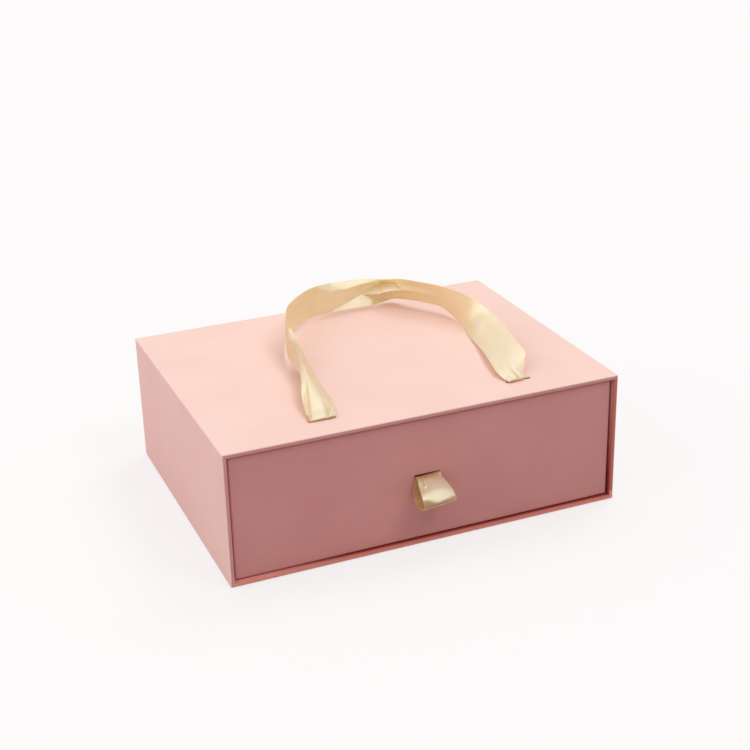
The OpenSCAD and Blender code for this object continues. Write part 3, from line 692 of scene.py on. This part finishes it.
def make_ribbon(name, g, golden, tucked):
    """A closed thin ribbon on the grid g (rows along it, columns across), in mm, and its length.
    The grids golden and tucked hold the share of the painted shade in deep gold, and of the painted
    shade inside a slit."""
    n = grid_normals(g)
    rows, cols = g.shape[:2]
    steps = np.linalg.norm(np.diff(g[:, cols // 2], axis=0), axis=1)
    length = np.concatenate([[0], np.cumsum(steps)])
    verts = np.concatenate([(g + n * side * RIBBON_T).reshape(-1, 3) for side in (0.5, -0.5)]) * MM

    def at(side, i, j):
        return (side * rows + i) * cols + j

    faces = []
    for i in range(rows - 1):
        for j in range(cols - 1):
            faces.append((at(0, i, j), at(0, i + 1, j), at(0, i + 1, j + 1), at(0, i, j + 1)))
            faces.append((at(1, i, j), at(1, i, j + 1), at(1, i + 1, j + 1), at(1, i + 1, j)))
        k = cols - 1
        faces.append((at(0, i, 0), at(1, i, 0), at(1, i + 1, 0), at(0, i + 1, 0)))
        faces.append((at(0, i, k), at(0, i + 1, k), at(1, i + 1, k), at(1, i, k)))
    for j in range(cols - 1):
        k = rows - 1
        faces.append((at(0, 0, j), at(0, 0, j + 1), at(1, 0, j + 1), at(1, 0, j)))
        faces.append((at(0, k, j), at(1, k, j), at(1, k, j + 1), at(0, k, j + 1)))
    mesh = bpy.data.meshes.new(name)
    mesh.from_pydata([tuple(v) for v in verts], [], faces)
    painted = {
        "along": np.repeat(length / 1000, cols),
        "across": np.tile(np.linspace(0, 1, cols), rows),
        "golden": np.clip(golden, 0, 1).reshape(-1),
        "tucked": np.clip(tucked, 0, 1).reshape(-1),
    }
    for key, values in painted.items():
        attribute = mesh.attributes.new(key, "FLOAT", "POINT")
        attribute.data.foreach_set("value", np.tile(values, 2).astype(np.float32))
    mesh.polygons.foreach_set("use_smooth", [True] * len(mesh.polygons))
    mesh.set_sharp_from_angle(angle=math.radians(CRISP))
    obj = bpy.data.objects.new(name, mesh)
    bpy.context.scene.collection.objects.link(obj)
    coat(obj, "satin")
    return obj, float(length[-1])


def handle_paint(g, s):
    """The handle's golden and tucked shares, both painted shade: golden low down at its feet, up
    the left foot's outer edge, and down the outer strip of the left side. The strip widens to the
    whole width."""
    v = np.linspace(0, 1, g.shape[1])
    rise = g[..., 2] - BOX_H
    foot = np.abs(g[..., 1] - HANDLE_Y) < 4
    low = foot * (1.5 - rise) / 1.3
    left_edge = foot * (g[..., 0] < 0) * (1 - v) ** 8 * (5 - rise) / 4
    outer = np.clip(np.minimum((s - 4.2) / 1.5, (11.5 - s) / 2), 0, 1)[:, None]
    reach = 0.56 + 0.6 * np.clip((s - 7) / 2, 0, 1)[:, None]
    strip = 0.27 * outer * np.clip((reach - v) / 0.12, 0, 1)
    return np.maximum(np.maximum(low, left_edge), strip), foot * (0.3 - rise) / 0.4


def pull_paint(g, s):
    """The pull's golden and tucked shares, both painted shade: golden near the slit, on the facet
    between the ridge and the lip, and on the lower leg."""
    out = FRONT_Y - g[..., 1]
    s = s[:, None]
    v = np.linspace(0, 1, g.shape[1])
    ridge = np.interp(v, (0.13, 0.36, 0.5, 0.66, 0.9, 1), (2.8, 3.6, 3.7, 3.5, 3.1, 3.0))
    facet = 0.75 * np.clip(np.minimum((s - ridge) / 0.3, (5.0 - s) / 0.2), 0, 1)
    upper = np.where(s < 4, (5.4 - out) / 4.4, 0)
    lower = 0.6 * np.clip(s - 6.3, 0, 1)
    return np.maximum(np.maximum(upper, facet), lower), (0.75 - out) / 0.6


def make_handle():
    """The ribbon of the handle, folded like a roof up its left side, and clear of the panel."""
    stations, lead = handle_stations()
    g = surface(stations, lead, lambda s: 0.9 * ease(s, 2.8, 4.4) * (1 - ease(s, 9, 10.6)))
    for lines, toward, passes in HANDLE_CREASES:
        g = crease(g, lead, lines, toward, passes)
    s = places(g, lead)
    free = (s > 0.5) & (s < len(HANDLE) - 1)
    g[free, :, 2] = np.maximum(g[free, :, 2], BOX_H + CLEAR)
    handle, length = make_ribbon("handle_satin", g, *handle_paint(g, s))
    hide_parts("handle_ribbon", "handle_left_tail", "handle_right_tail")
    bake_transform(handle)


def make_pull():
    """The ribbon of the drawer's pull, round across apart from its creases."""
    stations, lead = pull_stations()
    g = crease(surface(stations, lead, np.zeros_like), lead, PULL_FOLDS, TOWARD_FRONT, 0)
    pull, length = make_ribbon("pull_satin", g, *pull_paint(g, places(g, lead)))
    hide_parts("pull_ribbon", "pull_tail")
    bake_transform(pull)


# ------------------------------------------------------------------ rim corners

RIM_T = 2.4                      # width of the rim's front face, in mm
LAP_T = 0.14                     # how far a lapped fold stands out of it
MITRE = RIM_T + 0.05             # the mitre's inner corner, along both walls

# The lap's outline, from its outer end round the mitre's inner corner and along the upright: mm in
# from the sleeve's side, and up from its base. Its rings: mm drawn in, and out from the rim.
LAP = [(0.35, 0.35), (MITRE, MITRE), (MITRE, RIM_T + 4.2), (0.9, RIM_T + 3.2), (0.35, 2.2)]
LAP_RINGS = [(0, -0.02), (0, LAP_T * 0.6), (0.3, LAP_T)]


def make_laps():
    """Where the wrap turns in round the rim, each lower corner is a mitred fold: its lap lies on
    the upright's face, a thin leaf with a soft diagonal edge."""
    outline = np.array(LAP)
    inwards = outline.mean(axis=0) - outline
    inwards /= np.linalg.norm(inwards, axis=1, keepdims=True)
    n = len(LAP)
    faces = [(r * n + i, r * n + (i + 1) % n, (r + 1) * n + (i + 1) % n, (r + 1) * n + i)
             for r in range(len(LAP_RINGS) - 1) for i in range(n)]
    faces += [tuple(range(2 * n, 3 * n)), tuple(range(n))[::-1]]
    for side, sx in (("left", -1), ("right", 1)):
        verts = [(sx * (BOX_W / 2 - a) * MM, (-BOX_D / 2 - out) * MM, up * MM)
                 for inset, out in LAP_RINGS for a, up in outline + inwards * inset]
        mesh = bpy.data.meshes.new("rim_lap_%s_bottom" % side)
        mesh.from_pydata(verts, [], faces)
        lap = bpy.data.objects.new(mesh.name, mesh)
        bpy.context.scene.collection.objects.link(lap)
        bevel = lap.modifiers.new("soft", "BEVEL")
        bevel.width, bevel.segments = 0.05 * MM, 2
        coat(lap, "lap")
        # the leaf's edge along the mitre is paler
        mesh.materials.append(MAT["lap_edge"])
        mesh.polygons[n].material_index = 1
        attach(lap, "sleeve")


# ------------------------------------------------------------------ stage and light

FLOOR = shade((252, 250, 250))   # the white of the floor and of the background
FLOOR_GLOW = 0.75                # share of the floor's own white, in the camera's rays alone
FLOOR_R, FLOOR_Z = 9.0, -0.0002  # half its width, and its height, in m
FLOOR_SEEN = (0.92, 0.905, 0.905)  # its linear colour for the camera's rays
FLOOR_LIT = (0.62, 0.60, 0.60)   # and for the light that it sends back to the box
WORLD, WORLD_TONE = 0.45, (1, 0.985, 0.97, 1)    # strength and colour of the light all round

# Soft lamps: name, direction the light comes from, strength, angle, colour, shown in reflections.
SUNS = [
    ("key", (0.6, 0.35, 1.0), 0.68, 28, (0.94, 1, 1.02), False),
    ("overhead", (-0.15, -0.1, 1.0), 0.87, 90, (1, 0.99, 0.975), True),
    ("left_fill", (-1.0, 0.15, 0.35), 0.83, 60, (1, 0.9, 0.93), True),
    ("front_key", (0.7, -1.0, 1.65), 0.42, 16, (1, 0.97, 0.99), False),
]


def make_floor():
    """A wide pale floor just below the box's base."""
    mesh = bpy.data.meshes.new("floor")
    r = FLOOR_R
    mesh.from_pydata([(-r, -r, 0), (r, -r, 0), (r, r, 0), (-r, r, 0)], [], [(0, 1, 2, 3)])
    floor = bpy.data.objects.new("floor", mesh)
    floor.location.z = FLOOR_Z
    bpy.context.scene.collection.objects.link(floor)
    s = Shade("floor")
    seen = s.add("ShaderNodeLightPath").outputs["Is Camera Ray"]
    s.put(s.bsdf.inputs["Base Color"], s.mix(seen, FLOOR_LIT, FLOOR_SEEN))
    s.bsdf.inputs["Roughness"].default_value = 0.9
    s.bsdf.inputs["Specular IOR Level"].default_value = 0.0
    glow = s.add("ShaderNodeEmission")
    glow.inputs["Color"].default_value = (*FLOOR, 1)
    s.both(s.math("MULTIPLY", seen, FLOOR_GLOW), s.bsdf, glow)
    mesh.materials.append(s.mat)


def make_world():
    """White where the camera, a reflection or a ray through a piece sees it, and softer as the
    light that falls on the pieces."""
    world = bpy.data.worlds.new("world")
    bpy.context.scene.world = world
    world.use_nodes = True
    tree = world.node_tree
    tree.nodes.clear()
    new, link = tree.nodes.new, tree.links.new
    out = new("ShaderNodeOutputWorld")
    seen, lit = (new("ShaderNodeBackground") for _ in range(2))
    seen.inputs["Color"].default_value = (*FLOOR, 1)
    lit.inputs["Color"].default_value = WORLD_TONE
    lit.inputs["Strength"].default_value = WORLD
    rays = new("ShaderNodeLightPath")
    share = rays.outputs["Is Camera Ray"]
    for kind in ("Is Glossy Ray", "Is Transmission Ray"):
        either = new("ShaderNodeMath")
        either.operation = "MAXIMUM"
        link(share, either.inputs[0])
        link(rays.outputs[kind], either.inputs[1])
        share = either.outputs[0]
    mix = new("ShaderNodeMixShader")
    link(share, mix.inputs[0])
    link(lit.outputs[0], mix.inputs[1])
    link(seen.outputs[0], mix.inputs[2])
    link(mix.outputs[0], out.inputs["Surface"])


def make_lights():
    """The lamps of the table above."""
    for name, toward, strength, angle, colour, shown in SUNS:
        data = bpy.data.lights.new(name, "SUN")
        data.energy, data.angle, data.color = strength, math.radians(angle), colour
        lamp = bpy.data.objects.new(name, data)
        lamp.rotation_mode = "QUATERNION"
        lamp.rotation_quaternion = Vector(toward).to_track_quat("Z", "Y")
        lamp.visible_glossy = shown
        bpy.context.scene.collection.objects.link(lamp)


make_camera()
coat_cad()
make_handle()
make_pull()
make_laps()
make_floor()
make_world()
make_lights()
bpy.context.scene.view_settings.view_transform = "Standard"
